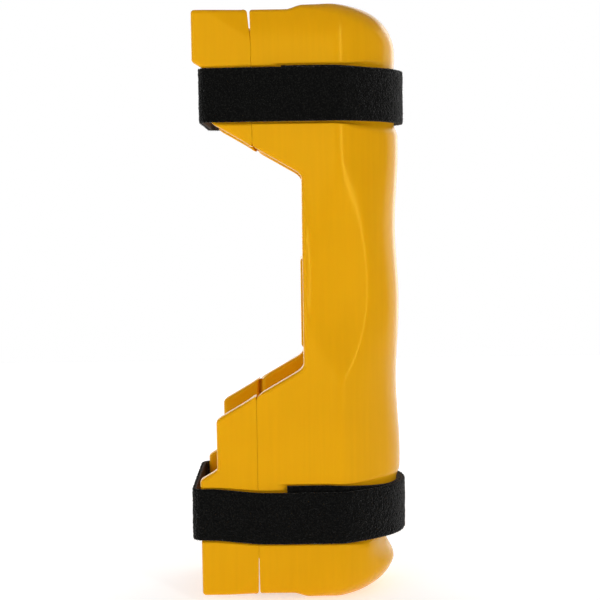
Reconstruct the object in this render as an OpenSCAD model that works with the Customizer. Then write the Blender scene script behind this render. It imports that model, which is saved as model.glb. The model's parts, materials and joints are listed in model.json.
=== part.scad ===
// Strap-on impact guard for a square storage-rack upright.
// +X points forward, out of the nose.  +Y is the left side.  +Z is up.
// The origin is on the seat pad that rests against the upright, at mid-height.

/* [Guard] */
// Height of the nose, from its foot to its head
nose_height = 457; // [440:1:480]
// Height of the side legs, end to end
leg_height = 445.6; // [436:0.2:446]
// Width across the outer faces of the two sides
guard_width = 100; // [96:1:110]
// Width of the channel that takes the upright
channel_width = 80; // [70:1:82]
// Distance from the seat pad to the front of the nose
nose_reach = 76.9; // [74:0.1:80]
// Distance from the seat pad back to the rear edges of the wings
rear_reach = 79.1; // [76:0.1:84]
// Distance from the seat pad back to the hinge line of the wings
seam_reach = 34.9; // [30:0.1:40]
// Height that the seat pad stands out of the channel floor
pad_proud = 1.5; // [0.5:0.1:3]
// Thickness of the moulded skin
skin = 3; // [2.5:0.1:3.2]

/* [Side cut-out] */
// Height of the top corner of the cut-out
cut_top = 100.6; // [80:0.1:110]
// Height of the bottom corner of the cut-out
cut_bottom = -46.4; // [-60:0.1:-40]
// Slope of the cut-out's upper and lower edges, in degrees
cut_slope = 30; // [25:1:32]

/* [Wings] */
// Distance from the seat pad back to the stepped-in rear edge
recess_reach = 66; // [60:0.1:70]
// Top of the stepped-in rear edge on the upper wings
upper_step = 177.6; // [170:0.1:178]
// Bottom of the stepped-in rear edge on the lower wings
lower_step = -124.6; // [-128:0.1:-120]
// Width of the crease that separates a wing from its leg
crease_width = 0.7; // [0.5:0.1:2]
// Thickness of the living hinge
web_thick = 1; // [0.6:0.1:1.2]
// Depth of the crease outside the living hinge
crease_depth = 3.5; // [3.2:0.1:4]
// Half width of the inner notch where it opens into the channel
notch_half = 2.5; // [2:0.1:4]

/* [Straps] */
// Width of the strap
strap_width = 40; // [30:1:44]
// Thickness of the hook tape on the inside
hook_thick = 1.2; // [1:0.1:1.4]
// Thickness of the loop tape on the outside
loop_thick = 1.8; // [1.4:0.1:2]
// Height of the upper strap's middle
upper_strap_z = 159.8; // [158:0.1:164]
// Height of the lower strap's middle
lower_strap_z = -162; // [-164:0.1:-158]
// Inner face of the upper strap behind the wings
upper_back = 71.8; // [70:0.1:74]
// Inner face of the lower strap behind the wings
lower_back = 82.9; // [82:0.1:86]
// Depth of the strap grooves
groove_depth = 3; // [2:0.1:3]
// Width of the strap grooves
groove_width = 47; // [45:1:50]
// Length of the loose end that peels off
tail_length = 45; // [30:1:50]

/* [Hidden] */

half_w = guard_width / 2;
half_channel = channel_width / 2;
leg_z = leg_height / 2;
nose_z = nose_height / 2;
seam_x = -seam_reach;
half_crease = crease_width / 2;
groove_z = 161.5;
groove_floor = half_w - groove_depth;
web_outer = half_w - crease_depth;
web_inner = web_outer - web_thick;
notch_gap = 0.3;
slope = tan(cut_slope);
seam_top = cut_top + slope * (seam_reach + pad_proud);
seam_bottom = cut_bottom - slope * (seam_reach + pad_proud);
recess_top = cut_top + slope * (recess_reach + pad_proud);
recess_bottom = cut_bottom - slope * (recess_reach + pad_proud);
lip_rise = slope * (rear_reach - recess_reach);
gap_upper_z = 198;
gap_lower_z = -192;
upper_gap_open = 2.4;
upper_leg_lean = -0.6;
lower_gap_open = 0.7;
lower_leg_lean = 0.3;

// Plan of one side, from the hinge line to the middle of the nose: a flat side, a
// corner, a slightly rounded flank and a round nose, each an arc tangent to the next.
side_end_x = 28;
corner_r = 10;
corner_turn = 22;
flank_turn = 40;
nose_tip = nose_reach + 1.6;
corner_step = 5.5;
flank_step = 3;
nose_step = 5;
run_x = nose_tip - side_end_x - corner_r * sin(corner_turn);
run_y = half_w - corner_r * (1 - cos(corner_turn));
a11 = sin(flank_turn) - sin(corner_turn);
a12 = 1 - sin(flank_turn);
a21 = cos(corner_turn) - cos(flank_turn);
a22 = cos(flank_turn);
det = a11 * a22 - a12 * a21;
flank_r = (run_x * a22 - a12 * run_y) / det;
nose_r = (a11 * run_y - a21 * run_x) / det;
corner_c = [side_end_x, half_w - corner_r];
flank_c = corner_c + (corner_r - flank_r) * [sin(corner_turn), cos(corner_turn)];
nose_c = [nose_tip - nose_r, 0];

function arc_points(c, r, from, to, step) =
    let (n = ceil(abs(to - from) / step))
    [for (i = [0:n]) let (a = from + (to - from) * i / n) c + r * [sin(a), cos(a)]];

// Outer plan curve of the left side, moved outwards by grow, in walking order.
function side_curve(grow) = concat(
    arc_points(corner_c, corner_r + grow, 0, corner_turn, corner_step),
    arc_points(flank_c, flank_r + grow, corner_turn + flank_step, flank_turn, flank_step),
    arc_points(nose_c, nose_r + grow, flank_turn + nose_step, 90, nose_step));

function mirrored(points) = [for (i = [len(points) - 1:-1:0]) [points[i].x, -points[i].y]];
function nose_curve(grow) =
    let (left = side_curve(grow))
    concat(left, mirrored([for (i = [0:len(left) - 2]) left[i]]));

// Front edge in the side view: a low wave, three crests high.
wave_height = 1.3;
wave_pitch = 121.5;
function front_x(z) = nose_reach + wave_height * cos(360 * z / wave_pitch);

// Head in the side view: an S-shaped step up from the leg, then a quarter circle.
head_r = 38.5;
head_c = [front_x(nose_z - head_r) - head_r, nose_z - head_r];
head_step = 6;
step_x = -12;
step_parts = 8;
front_end = 180;
front_step = 10;
function smooth(t) = t * t * (3 - 2 * t);
function head_curve(inset) = concat(
    [for (i = [0:step_parts]) let (t = i / step_parts)
        [step_x + (head_c.x - step_x) * t, leg_z + (nose_z - leg_z) * smooth(t) - inset]],
    arc_points(head_c, head_r - inset, head_step, 90, head_step));
function flipped(points) = [for (i = [len(points) - 1:-1:0]) [points[i].x, -points[i].y]];

// Side view of the guard body between the hinge line and the front.
function body_side(inset) =
    let (back = seam_x + half_crease + inset,
         cut_x = pad_proud + inset,
         drop = inset / cos(cut_slope))
    concat(
        [[back, gap_upper_z], [back + upper_leg_lean, leg_z - inset]],
        head_curve(inset),
        [for (z = [front_end:-front_step:-front_end]) [front_x(z) - inset, z]],
        flipped(head_curve(inset)),
        [[back + lower_leg_lean, -leg_z + inset], [back, gap_lower_z],
         [back, cut_bottom - slope * (pad_proud - back + inset) - drop],
         [cut_x, cut_bottom - drop],
         [cut_x, cut_top + drop],
         [back, cut_top + slope * (pad_proud - back + inset) + drop]]);

module along_y(points, depth) {
    rotate([90, 0, 0]) linear_extrude(depth, center = true) polygon(points);
}

module between(low, high) {
    translate([0, 0, low]) linear_extrude(high - low) children();
}

// Plan of the body: U-shaped, open at the back, with the inner notch beside each hinge.
module body_plan(depth) {
    back = seam_x + half_crease;
    rim = [[back, half_w - depth]];
    inner = [[back, web_inner - notch_gap], [seam_x + notch_half, half_channel],
             [pad_proud, half_channel]];
    polygon(concat(rim, nose_curve(-depth), mirrored(rim), flip_side(inner), reversed(inner)));
}
function flip_side(points) = [for (p = points) [p.x, -p.y]];
function reversed(points) = [for (i = [len(points) - 1:-1:0]) points[i]];

// Plan of the hollow inside the body's skin.
module hollow_plan(depth) {
    back = seam_x + half_crease + skin;
    rim = [[back, half_w - depth]];
    inner = [[back, half_channel + skin], [pad_proud + skin, half_channel + skin]];
    polygon(concat(rim, nose_curve(-depth), mirrored(rim), flip_side(inner), reversed(inner)));
}

scoop_r = 860;
scoop_depth = 4;
scoop_tilt = 16;
scoop_z = 24;
scoop_half = 60;

module body_scoop() {
    translate([side_end_x, half_w - scoop_depth, scoop_z])
        rotate([0, 0, -scoop_tilt])
            translate([-scoop_half, scoop_r, 0])
                rotate([0, 90, 0]) cylinder(h = 2 * scoop_half, r = scoop_r, $fn = 96);
}

vent_r = 2.5;
vent_z = -200;
module guard_body() {
    edge = groove_width / 2;
    color("orange") difference() {
        intersection() {
            union() {
                between(-nose_z, nose_z) body_plan(groove_depth);
                between(groove_z + edge, nose_z) body_plan(0);
                between(-groove_z + edge, groove_z - edge) body_plan(0);
                between(-nose_z, -groove_z - edge) body_plan(0);
            }
            along_y(body_side(0), 2 * guard_width);
        }
        body_scoop();
        mirror([0, 1, 0]) body_scoop();
        intersection() {
            union() {
                between(-nose_z, nose_z) hollow_plan(groove_depth + skin);
                between(groove_z + edge + skin, nose_z) hollow_plan(skin);
                between(-nose_z, -groove_z - edge - skin) hollow_plan(skin);
            }
            along_y(body_side(skin), 2 * guard_width);
        }
        translate([pad_proud - 1, 0, vent_z]) rotate([0, 90, 0]) cylinder(h = skin + 2, r = vent_r);
    }
}

// Raised pad on the channel floor that bears on the upright.
pad_low = -34;
pad_high = 38;
pad_half = 30;
pad_slope = 4;
module seat_pad() {
    color("orange") rotate([90, 0, 0]) linear_extrude(2 * pad_half, center = true)
        polygon([[pad_proud, pad_low], [pad_proud, pad_high],
                 [0, pad_high - pad_slope], [0, pad_low + pad_slope]]);
}

// Side view of a wing, upper or lower.  Both have a slanted edge, a step and a lip.
corner_cut = 3;
wing_vent_x = -57.5;
wing_vent_y = 45;
wing_vent_r = 1.5;
function upper_wing_side() = [
    [seam_x - half_crease, seam_top + slope * half_crease], [-recess_reach, recess_top],
    [-recess_reach, upper_step], [-rear_reach, upper_step + lip_rise],
    [-rear_reach, leg_z - corner_cut], [-rear_reach + corner_cut, leg_z],
    [seam_x - half_crease - upper_gap_open, leg_z], [seam_x - half_crease, gap_upper_z]];
function lower_wing_side() = [
    [seam_x - half_crease, seam_bottom - slope * half_crease], [-recess_reach, recess_bottom],
    [-recess_reach, lower_step], [-rear_reach, lower_step - lip_rise],
    [-rear_reach, -leg_z + corner_cut], [-rear_reach + corner_cut, -leg_z],
    [seam_x - half_crease - lower_gap_open, -leg_z], [seam_x - half_crease, gap_lower_z]];

// Plan of a left wing: a flat plate with the other half of the inner notch.
module wing_plan(outer) {
    polygon([[-rear_reach - 1, half_channel], [seam_x - notch_half, half_channel],
             [seam_x - half_crease, web_inner - notch_gap], [seam_x - half_crease, outer],
             [-rear_reach - 1, outer]]);
}

// Left wing with its sealed pocket and the pocket's vent in the end face.
module wing(side, up) {
    edge = groove_width / 2;
    pocket_low = groove_z + edge + skin;
    pocket_high = leg_z - skin;
    pocket_front = seam_x - half_crease - upper_gap_open - skin;
    color("orange") difference() {
        intersection() {
            union() {
                between(-leg_z, leg_z) wing_plan(groove_floor);
                between(groove_z + edge, leg_z) wing_plan(half_w);
                between(-groove_z + edge, groove_z - edge) wing_plan(half_w);
                between(-leg_z, -groove_z - edge) wing_plan(half_w);
            }
            along_y(side, 2 * guard_width);
        }
        mirror([0, 0, up ? 0 : 1]) {
            translate([-rear_reach + skin, half_channel + skin, pocket_low])
                cube([pocket_front + rear_reach - skin, half_w - half_channel - 2 * skin,
                      pocket_high - pocket_low]);
            translate([wing_vent_x, wing_vent_y, pocket_high - 1])
                cylinder(h = skin + 2, r = wing_vent_r);
        }
    }
}

module wing_upper_left() { wing(upper_wing_side(), true); }
module wing_upper_right() { mirror([0, 1, 0]) wing(upper_wing_side(), true); }
module wing_lower_left() { wing(lower_wing_side(), false); }
module wing_lower_right() { mirror([0, 1, 0]) wing(lower_wing_side(), false); }

// Living hinge: a thin strip that joins a wing to its leg.
web_margin = 1;
module hinge_web(low, high) {
    color("goldenrod") translate([seam_x - half_crease, web_inner, low])
        cube([crease_width, web_thick, high - low]);
}
module hinge_upper_left() { hinge_web(seam_top + web_margin, gap_upper_z); }
module hinge_upper_right() { mirror([0, 1, 0]) hinge_upper_left(); }
module hinge_lower_left() { hinge_web(gap_lower_z, seam_bottom - web_margin); }
module hinge_lower_right() { mirror([0, 1, 0]) hinge_lower_left(); }

// A strap lies on a loop round the grooves.  The loop starts at the back corner of the
// right side, goes forward, round the nose, back along the left and across the back.
strap_gap = 0.3;
back_r = 2.5;
back_step = 15;
inner_end_x = -12.5;
tail_x = 25;
strap_thick = hook_thick + loop_thick;
turn_pitch = strap_thick + strap_gap;
loop_y = groove_floor + strap_gap;

// Points of the strap's inner face at a height h above the groove's own running gap.
function nose_run(h) = reversed(nose_curve(strap_gap - groove_depth + h));
function right_start(h) = [[inner_end_x, -loop_y - h]];
function back_turn(back, h) = concat(
    arc_points([back_r - back, loop_y - back_r], back_r + h, 0, -90, back_step),
    arc_points([back_r - back, back_r - loop_y], back_r + h, -90, -180, back_step));
function first_turn(back, h) = concat(right_start(h), nose_run(h), back_turn(back, h));
function second_turn(h) = concat(right_start(turn_pitch + h), nose_run(turn_pitch + h),
                                 [[tail_x, loop_y + turn_pitch + h]]);
function strap_face(back, h) = concat(first_turn(back, h), second_turn(h));

module strap_tape(back, z, low, high) {
    translate([0, 0, z]) linear_extrude(strap_width, center = true)
        polygon(concat(strap_face(back, low), reversed(strap_face(back, high))));
}

module tail_tape(z, low, high) {
    translate([tail_x - strap_gap - tail_length, loop_y + turn_pitch + low, z - strap_width / 2])
        cube([tail_length, high - low, strap_width]);
}

module loop_tape(back, z) { color("black") strap_tape(back, z, hook_thick, strap_thick); }
module hook_tape(back, z) { color("dimgray") strap_tape(back, z, 0, hook_thick); }
module strap_upper_loop() { loop_tape(upper_back, upper_strap_z); }
module strap_upper_hook() { hook_tape(upper_back, upper_strap_z); }
module strap_lower_loop() { loop_tape(lower_back, lower_strap_z); }
module strap_lower_hook() { hook_tape(lower_back, lower_strap_z); }
module strap_upper_tail_loop() { color("black") tail_tape(upper_strap_z, hook_thick, strap_thick); }
module strap_upper_tail_hook() { color("dimgray") tail_tape(upper_strap_z, 0, hook_thick); }
module strap_lower_tail_loop() { color("black") tail_tape(lower_strap_z, hook_thick, strap_thick); }
module strap_lower_tail_hook() { color("dimgray") tail_tape(lower_strap_z, 0, hook_thick); }

guard_body();
seat_pad();
wing_upper_left();
wing_upper_right();
wing_lower_left();
wing_lower_right();
hinge_upper_left();
hinge_upper_right();
hinge_lower_left();
hinge_lower_right();
strap_upper_loop();
strap_upper_hook();
strap_upper_tail_loop();
strap_upper_tail_hook();
strap_lower_loop();
strap_lower_hook();
strap_lower_tail_loop();
strap_lower_tail_hook();
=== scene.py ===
"""Looks for a strap-on rack upright guard, laid out as an add-on and run as a script.

+X points forward out of the nose, +Y to the left side and +Z up.  Shapes are worked out in
millimetres as whole numpy arrays and written to meshes in metres.
"""

import json
import math

import bmesh
import bpy
import numpy as np
from mathutils import Matrix, Vector


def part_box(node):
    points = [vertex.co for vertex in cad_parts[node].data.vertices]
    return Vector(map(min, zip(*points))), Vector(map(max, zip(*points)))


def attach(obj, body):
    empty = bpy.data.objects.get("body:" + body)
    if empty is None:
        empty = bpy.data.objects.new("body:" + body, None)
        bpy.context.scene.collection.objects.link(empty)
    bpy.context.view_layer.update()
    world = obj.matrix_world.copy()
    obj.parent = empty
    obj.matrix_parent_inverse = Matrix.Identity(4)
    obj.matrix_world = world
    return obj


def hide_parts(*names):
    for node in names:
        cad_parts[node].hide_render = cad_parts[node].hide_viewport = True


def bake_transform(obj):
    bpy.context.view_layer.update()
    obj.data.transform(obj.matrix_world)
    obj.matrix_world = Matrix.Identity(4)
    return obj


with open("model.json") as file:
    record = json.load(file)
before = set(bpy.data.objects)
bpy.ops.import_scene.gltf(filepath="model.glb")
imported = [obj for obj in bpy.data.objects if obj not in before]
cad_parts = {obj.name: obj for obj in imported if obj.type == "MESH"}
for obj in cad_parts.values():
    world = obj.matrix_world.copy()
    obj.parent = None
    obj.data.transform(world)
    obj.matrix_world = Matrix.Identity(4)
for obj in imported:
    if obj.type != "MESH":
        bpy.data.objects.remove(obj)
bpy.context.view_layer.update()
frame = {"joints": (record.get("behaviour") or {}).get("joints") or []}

bl_info = {
    "name": "Rack Upright Guard",
    "version": (1, 0, 0),
    "blender": (4, 5, 0),
    "location": "View3D > Sidebar > Guard",
    "description": "Builds a strap-on impact guard around its packed frame",
    "category": "Add Mesh",
}

MM = 0.001


def box_mm(node):
    """Lowest and highest corners of a node, in millimetres."""
    low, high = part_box(node)
    return np.array(low) / MM, np.array(high) / MM


def joint_mm(name):
    """A joint's place in millimetres."""
    joint = next(j for j in frame["joints"] if j["name"] == name)
    return np.array(joint["pos_m"]) / MM


BODY_HIGH = box_mm("guard_body")[1]
WING_LOW, WING_HIGH = box_mm("wing_upper_left")
PAD_LOW, PAD_HIGH = box_mm("seat_pad")
WEB_LOW, WEB_HIGH = box_mm("hinge_upper_left")
SEAM_X = joint_mm("wing_upper_left_fold")[0]
HALF_WIDTH = BODY_HIGH[1]
HALF_CHANNEL = WING_LOW[1]
NOSE_TIP = BODY_HIGH[0]
NOSE_Z = BODY_HIGH[2]
LEG_Z = WING_HIGH[2]
FLOOR_X = PAD_HIGH[0]
REAR_X = WING_LOW[0]
CREASE_HALF = 0.06

# The side cut-out and the stepped-in rear edges
CUT_TOP = 100.6
CUT_BOTTOM = -46.4
CUT_SOFT = 6.0
SEAM_SOFT = 5.0
SLOPE = math.tan(math.radians(30))
RECESS_X = -66.0
UPPER_STEP = 177.0
LOWER_STEP = 124.6
UPPER_GAP_Z = 198.0
LOWER_GAP_Z = 192.0
WING_LEAN = {1: 2.4, -1: 0.7}
LEG_LEAN = {1: -0.6, -1: 0.3}

# Straps and the grooves under them
STRAP_HALF = 20.0
STRAP_Z = {1: 159.8, -1: -162.0}
HOOK_THICK = 1.2
STRAP_THICK = 3.0
TURN_PITCH = 3.3
LOOP_Y = 47.3
STRAP_TIP = 78.5
STRAP_BACK = {1: 71.8, -1: 82.9}
BACK_R = 5.0
INNER_END = -12.5
TAIL_X = 25.0
TAIL_END = -20.3
INNER_LIFT = {1: 1.4, -1: 4.8}
INNER_FALL = (15.0, 75.0)
REAR_LIFT = {1: 0.0, -1: 3.0}
REAR_RISE = (-28.0, -73.0)
GROOVE_DEPTH = 3.0
RIM_BAND = 1.3
RIM_BAND_GROWTH = 7.5
RIM_GROWS = (25.0, 75.0)
BELOW_GAP = 0.5
ABOVE_GAP = 0.3

# The nose and its ends
WAVE_HEIGHT = 1.3
WAVE_PITCH = 121.5
WAVE_START = 40.0
WAVE_LIMIT = 190.0
TUCK_START = 200.0
TUCK_RADIUS = 110.0
TUCK_TIGHTER = 50.0
TUCK_GROWS = (-5.0, 25.0)
LIP_DEPTH = 8.0
LIP_OPENS = (-209.0, -189.0)
LIP_CLOSES = (-156.0, -174.0)
FOOT_SET_BACK = 1.3
FOOT_STARTS = (-150.0, -170.0)
LIP_REACH = (48.0, 76.0)
STEP_SHARE = 0.62
STEP_RUN = (-9.0, 4.0)
CROWN_RUN = (-1.0, 33.0)

# The hand scoop and the ridge in front of it
SCOOP_RADIUS = 580.0
SCOOP_DEPTH = 5.5
SCOOP_X = 28
SCOOP_Z = 24.0
SCOOP_TILT = math.tan(math.radians(11))
SCOOP_STARTS = (2.0, 8.0)
SCOOP_SOFT = 0.5
SCOOP_SOFT_UP = 1.8
SCOOP_SOFT_UP_RUN = (-10.0, 100.0)
SCOOP_SOFT_REAR = 1.5
SCOOP_SOFT_REAR_RUN = (34.0, 20.0)
RIDGE_X = 52.0
RIDGE_HALF = 12
RIDGE_FILL = 0.8
RIDGE_FADE = 1.6
RIDGE_FADE_RUN = 70


# -------------------- shaping tools

def smooth_step(t):
    """Cubic ease from 0 to 1."""
    t = np.clip(t, 0.0, 1.0)
    return t * t * (3 - 2 * t)


def ramp(value, start, end):
    """Cubic ease from 0 where value is start to 1 where it is end."""
    return smooth_step((value - start) / (end - start))


def soft_min(a, b, k):
    """Smaller of a and b, rounded over a band k wide where they meet."""
    h = np.clip(0.5 + 0.5 * (b - a) / k, 0, 1)
    return b * (1 - h) + a * h - k * h * (1 - h)


def soft_max(a, b, k):
    """Larger of a and b, rounded over a band k wide where they meet."""
    return -soft_min(-a, -b, k)


def spans(*stations):
    """Values through stations (start, end, step), each stretch divided evenly."""
    parts = [np.linspace(a, b, max(1, round(abs(b - a) / d)) + 1)[:-1] for a, b, d in stations]
    return np.concatenate(parts + [[stations[-1][1]]])


def lattice_faces(rows, columns, closed=False):
    """Quads that join the neighbours in a lattice of rows by columns."""
    i = np.arange(rows - 1)[:, None]
    j = np.arange(columns if closed else columns - 1)[None, :]
    a = i * columns + j
    b = i * columns + (j + 1) % columns
    return np.stack([a, b, b + columns, a + columns], -1).reshape(-1, 4)


def joined(*parts):
    """One array of points and one list of faces from several (points, faces) pairs."""
    starts = np.cumsum([0] + [len(p) for p, _ in parts[:-1]])
    points = np.concatenate([p for p, _ in parts])
    return points, sum(((f + s).tolist() for (_, f), s in zip(parts, starts)), [])


def make_piece(name, points, faces, material, merge=0.004):
    """A smooth-shaded mesh object from points in millimetres, seams merged, faces outwards."""
    mesh = bpy.data.meshes.new(name)
    mesh.from_pydata((points * MM).tolist(), [], faces)
    work = bmesh.new()
    work.from_mesh(mesh)
    bmesh.ops.remove_doubles(work, verts=work.verts, dist=merge * MM)
    bmesh.ops.dissolve_degenerate(work, edges=work.edges, dist=merge * MM * 0.5)
    bmesh.ops.recalc_face_normals(work, faces=work.faces)
    work.to_mesh(mesh)
    work.free()
    mesh.shade_smooth()
    mesh.materials.append(material)
    piece = bpy.data.objects.new(name, mesh)
    bpy.context.scene.collection.objects.link(piece)
    return piece


# -------------------- the guard's outline

CORNER_X = 25.0
CORNER_R = 25.0
CORNER_TURN = math.radians(22)
FLANK_TURN = math.radians(40)


def outline_arcs(tip):
    """Centres and radii of the corner, flank and nose arcs, each tangent to the next."""
    run_x = tip - CORNER_X - CORNER_R * math.sin(CORNER_TURN)
    run_y = HALF_WIDTH - CORNER_R * (1 - math.cos(CORNER_TURN))
    sides = np.array([
        [math.sin(FLANK_TURN) - math.sin(CORNER_TURN), 1 - math.sin(FLANK_TURN)],
        [math.cos(CORNER_TURN) - math.cos(FLANK_TURN), math.cos(FLANK_TURN)]])
    flank_r, nose_r = np.linalg.solve(sides, [run_x, run_y])
    corner = np.array([CORNER_X, HALF_WIDTH - CORNER_R])
    turn = np.array([math.sin(CORNER_TURN), math.cos(CORNER_TURN)])
    flank = corner + (CORNER_R - flank_r) * turn
    return (corner, CORNER_R), (flank, flank_r), (np.array([tip - nose_r, 0.0]), nose_r)


def outline(start_x, counts):
    """Left half of the plan outline from start_x to the nose tip, with outward normals.

    A straight side, then three arcs: each arc point is centre + radius * (sin a, cos a)."""
    arcs = outline_arcs(NOSE_TIP)
    turns = [0.0, CORNER_TURN, FLANK_TURN, math.pi / 2]
    straight = np.linspace(start_x, CORNER_X, counts[0] + 1)[:-1]
    points = [np.stack([straight, np.full_like(straight, HALF_WIDTH)], 1)]
    normals = [np.tile([0.0, 1.0], (len(straight), 1))]
    for (centre, radius), a, b, n in zip(arcs, turns, turns[1:], counts[1:]):
        angle = np.linspace(a, b, n + 1)[:-1]
        way = np.stack([np.sin(angle), np.cos(angle)], 1)
        points.append(centre + radius * way)
        normals.append(way)
    points.append([[NOSE_TIP, 0.0]])
    normals.append([[1.0, 0.0]])
    return np.concatenate(points), np.concatenate(normals)


def rear_lift(x, up):
    """How much higher a strap lies towards the rear, where it slopes up to the wings."""
    return REAR_LIFT[up] * ramp(x, *REAR_RISE)


def inner_lift(x, up):
    """How much higher the inner layer lies: most at its end, nothing at the nose."""
    return INNER_LIFT[up] * (1 - ramp(x, *INNER_FALL))


def groove(z, x):
    """Depth of the strap grooves at height z and place x.

    The floor is as wide as the strap at x, and each rim eases out over a band that is
    narrow on the flat sides and wide round the nose."""
    band = RIM_BAND + RIM_BAND_GROWTH * ramp(x, *RIM_GROWS)
    depth = 0.0
    for up in (1, -1):
        middle = STRAP_Z[up] + rear_lift(x, up)
        lift = np.where(x > INNER_END - 3, inner_lift(x, up), 0.0)
        below = z - (middle - STRAP_HALF - BELOW_GAP)
        above = middle + STRAP_HALF + lift + ABOVE_GAP - z
        depth = depth + GROOVE_DEPTH * smooth_step(np.minimum(below, above) / band + 1)
    return depth


def tuck(x, z):
    """How far the sides lean in towards the guard's ends, more over the solid nose.

    It is the square of the height past TUCK_START over twice a radius."""
    past = np.maximum(np.abs(z) - TUCK_START, 0.0)
    radius = TUCK_RADIUS - TUCK_TIGHTER * ramp(x, *TUCK_GROWS)
    return past ** 2 / (2 * radius)


def lip(x, z):
    """Hollow of the nose between the lower strap and the foot's rounded lip.

    The foot itself stands back a little too."""
    tall = ramp(z, *LIP_OPENS) * ramp(z, *LIP_CLOSES)
    foot = FOOT_SET_BACK * ramp(z, *FOOT_STARTS)
    return (LIP_DEPTH * tall + foot) * ramp(x, *LIP_REACH)


def wave(z):
    """How far the nose stands behind its crests at height z: three long low crests."""
    z = np.clip(z, -WAVE_LIMIT, WAVE_LIMIT)
    return WAVE_HEIGHT * (np.cos(2 * math.pi * z / WAVE_PITCH) - 1)


def head_top(x):
    """Height of the guard's end over x: level legs, then a step up and a gentle crown."""
    step = STEP_SHARE * (NOSE_Z - LEG_Z)
    crown = NOSE_Z - LEG_Z - step
    return LEG_Z + step * ramp(x, *STEP_RUN) + crown * ramp(x, *CROWN_RUN)


def scooped(x, y, z):
    """Half width y with a low ridge added and the hand scoop pressed in behind it.

    The scoop's floor leans in by SCOOP_TILT for each step forwards and rises by the square
    of the distance from SCOOP_Z over twice SCOOP_RADIUS.  Its edge is rounded, more so
    towards the top and towards the rear."""
    away = z - SCOOP_Z
    fade = smooth_step(RIDGE_FADE - np.abs(away) / RIDGE_FADE_RUN)
    y = y + RIDGE_FILL * np.exp(-((x - RIDGE_X) / RIDGE_HALF) ** 2) * fade
    bowl = HALF_WIDTH - SCOOP_DEPTH - (x - SCOOP_X) * SCOOP_TILT + away ** 2 / (2 * SCOOP_RADIUS)
    softness = SCOOP_SOFT + SCOOP_SOFT_UP * ramp(z, *SCOOP_SOFT_UP_RUN)
    pressed = soft_min(y, bowl, softness + SCOOP_SOFT_REAR * ramp(x, *SCOOP_SOFT_REAR_RUN))
    return y + (pressed - y) * ramp(x, *SCOOP_STARTS)


def cut_edge(z):
    """Rear edge of the body at height z: cut-out, slanted edges, then the hinge crease."""
    upper = FLOOR_X - (z - CUT_TOP) / SLOPE
    lower = FLOOR_X - (CUT_BOTTOM - z) / SLOPE
    edge = soft_min(soft_min(upper, lower, CUT_SOFT), FLOOR_X, CUT_SOFT)
    open_up = np.clip((z - UPPER_GAP_Z) / (LEG_Z - UPPER_GAP_Z), 0, 1)
    open_down = np.clip((-z - LOWER_GAP_Z) / (LEG_Z - LOWER_GAP_Z), 0, 1)
    crease = SEAM_X + CREASE_HALF + LEG_LEAN[1] * open_up + LEG_LEAN[-1] * open_down
    return soft_max(edge, crease, SEAM_SOFT)


SEAM_LEAD = 4.5
SEAM_RUN = 5


def seam_share(z):
    """0 along the cut-out and its slanted edges, 1 beside the hinge crease."""
    top = CUT_TOP + SLOPE * (FLOOR_X - SEAM_X)
    bottom = CUT_BOTTOM - SLOPE * (FLOOR_X - SEAM_X)
    above = smooth_step((z - top + SEAM_LEAD) / SEAM_RUN)
    return above + smooth_step((bottom - z + SEAM_LEAD) / SEAM_RUN)


# A wall's end: its round, and the crease face with its small round and inner notch
EDGE_R = 2.8
SEAM_R = 0.3
NOTCH_Y = WEB_LOW[1] - 0.3
NOTCH_START = 0.35
NOTCH_X = 1.65
NOTCH_MOUTH = 0.5
RIM_TURNS = 5


def end_profile(edge, lean, share, y_out, y_in, inset, room):
    """Plan of a wall's end, from its outer face to its inner face, as offsets from edge.

    Two blended shapes: a wall end with both corners rounded by EDGE_R, stretched by the
    edge's lean; and the crease face, which has a small outer round and an inner notch."""
    k = np.arange(RIM_TURNS + 1) / RIM_TURNS * math.pi / 2
    r = np.maximum(EDGE_R - inset, 0.0)[..., None]
    stretch = np.minimum(r * lean[..., None], room[..., None] * 0.48)
    inner_r = r * np.clip(room[..., None] / (EDGE_R * lean[..., None]), 0, 1)
    out_x = stretch * (1 - np.sin(k))
    out_y = y_out[..., None] - r * (1 - np.cos(k))
    in_x = np.minimum(stretch, room[..., None]) * (1 - np.cos(k))
    in_y = y_in[..., None] + inner_r * (1 - np.sin(k))
    round_x = np.concatenate([out_x, in_x], -1)
    round_y = np.concatenate([out_y, in_y], -1)
    s = np.maximum(SEAM_R - inset, 0.0)[..., None]
    seam_out_x = s * (1 - np.sin(k))
    seam_out_y = y_out[..., None] - s * (1 - np.cos(k))
    down = np.linspace(0, 1, RIM_TURNS + 1)
    seam_in_y = NOTCH_Y + (y_in[..., None] - NOTCH_Y) * down
    notch = NOTCH_START + NOTCH_X * down + NOTCH_MOUTH * smooth_step(down * 5 - 4)
    seam_in_x = np.broadcast_to(notch, seam_in_y.shape)
    seam_x = np.concatenate([seam_out_x, seam_in_x], -1)
    seam_y = np.concatenate([seam_out_y, seam_in_y], -1)
    m = share[..., None]
    x = round_x * (1 - m) + seam_x * m
    y = round_y * (1 - m) + seam_y * m
    return edge[..., None] + x, y


def edge_lean(z, edge_of):
    """Lean of an edge curve at height z: its length for each step up."""
    step = 0.05
    slope = (edge_of(z + step) - edge_of(z - step)) / (2 * step)
    return np.sqrt(1 + slope ** 2)


CAP_BEND = 6


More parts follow.
